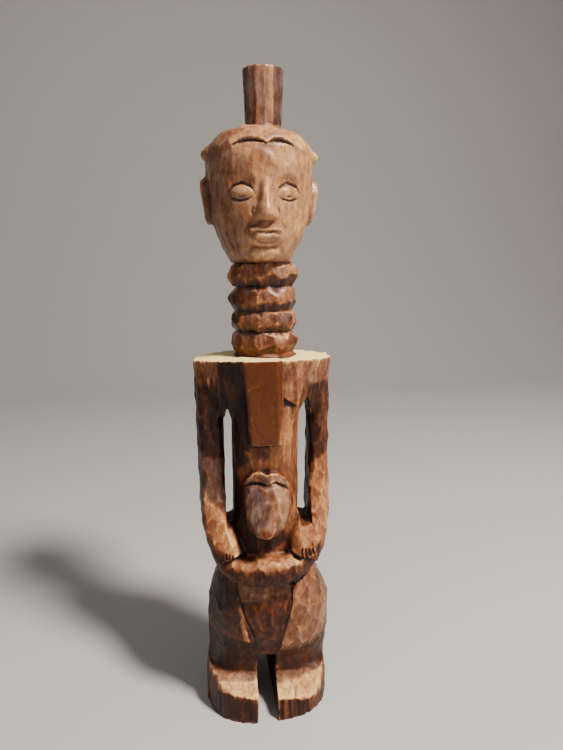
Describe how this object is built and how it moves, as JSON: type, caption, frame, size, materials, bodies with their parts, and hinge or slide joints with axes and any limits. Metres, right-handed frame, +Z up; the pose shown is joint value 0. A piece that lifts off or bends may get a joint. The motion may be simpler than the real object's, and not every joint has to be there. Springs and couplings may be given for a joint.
{
  "type": "tabwa figure",
  "caption": "Standing figure carved from one billet: tall topknot, ringed neck, square shoulders, arms curving to a rim under a jutting belly, slotted legs.",
  "frame": {"origin": "on the ground under the middle of the figure's bounding box", "axes": "+Z up; the figure faces -Y; +X is to the viewer's right as seen from the front"},
  "size_m": [0.108, 0.0978, 0.5],
  "materials": {
    "wood": "semi-gloss dark red-brown patina, paler on worn ridges, shoulders and insteps"
  },
  "bodies": {
    "root": {"figure": "wood"}
  },
  "joints": []
}
